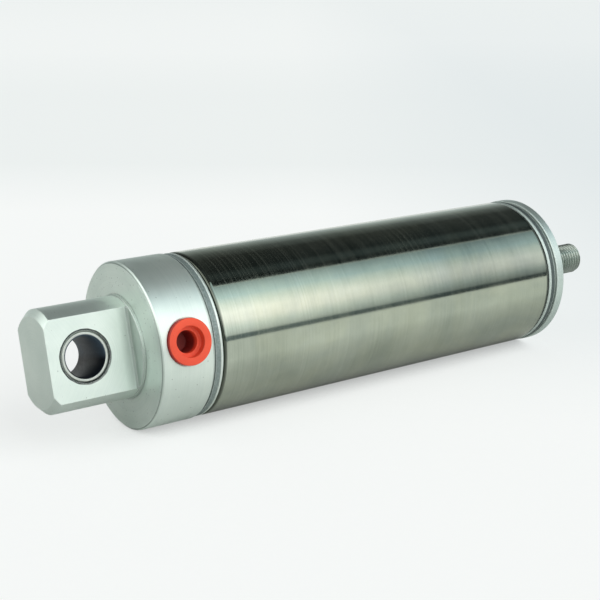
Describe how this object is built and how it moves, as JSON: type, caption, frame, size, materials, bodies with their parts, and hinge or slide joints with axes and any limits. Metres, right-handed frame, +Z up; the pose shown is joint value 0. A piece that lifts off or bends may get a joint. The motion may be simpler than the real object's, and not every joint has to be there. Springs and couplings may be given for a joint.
{
  "type": "pneumatic cylinder",
  "caption": "Round-body air cylinder with a stainless tube, spring-returned rod with a threaded end, rear pivot tang and a plugged air port in the rear head.",
  "frame": {"origin": "centre of the rear pivot bore, on the cylinder's axis", "axes": "+X along the cylinder towards the rod end, Y along the rear pivot bore with the air port towards -Y, +Z up"},
  "size_m": [0.2861, 0.0684, 0.067],
  "materials": {
    "head_aluminium": "satin clear-anodised",
    "tube_stainless": "brushed round the axis",
    "bush_steel": "steel shell with a dark polymer lining",
    "plug_plastic": "soft moulded plastic",
    "seal_rubber": "matt",
    "bumper_elastomer": "satin",
    "rod_steel": "ground and plated",
    "piston_aluminium": "turned",
    "bronze": "sintered",
    "guide_strip": "filled polymer",
    "zinc_steel": "zinc plated",
    "spring_steel": "drawn wire"
  },
  "bodies": {
    "barrel": {"rear_head": "head_aluminium", "pivot_bush": "bush_steel", "rear_head_oring": "seal_rubber", "rear_bumper": "bumper_elastomer", "tube": "tube_stainless", "front_head": "head_aluminium", "front_head_oring": "seal_rubber", "rod_bush": "bronze", "rod_wiper": "seal_rubber", "vent_filter": "bronze", "front_spring_seat": "zinc_steel", "stop_sleeve": "piston_aluminium", "front_bumper": "bumper_elastomer", "return_spring": "spring_steel"},
    "spring_follower": {"piston_spring_seat": "zinc_steel"},
    "rod": {"rod": "rod_steel", "piston": "piston_aluminium", "piston_seal": "seal_rubber", "piston_wear_ring": "guide_strip", "piston_oring": "seal_rubber", "piston_washer": "zinc_steel", "piston_nut": "zinc_steel"},
    "plug": {"port_plug": "plug_plastic"}
  },
  "joints": [
    {"name": "rod_slide", "type": "slide", "parent": "barrel", "child": "spring_follower", "axis": [1, 0, 0], "range_m": [0, 0.0635], "stiffness_N_per_m": 1400, "springref_m": -0.06, "deforming": ["return_spring"]},
    {"name": "rod_turn", "type": "hinge", "parent": "spring_follower", "child": "rod", "pos_m": [0, 0, 0], "axis": [1, 0, 0], "continuous": true},
    {"name": "plug_pull", "type": "slide", "parent": "barrel", "child": "plug", "axis": [0, -1, 0], "range_m": [0, 0.025]}
  ]
}
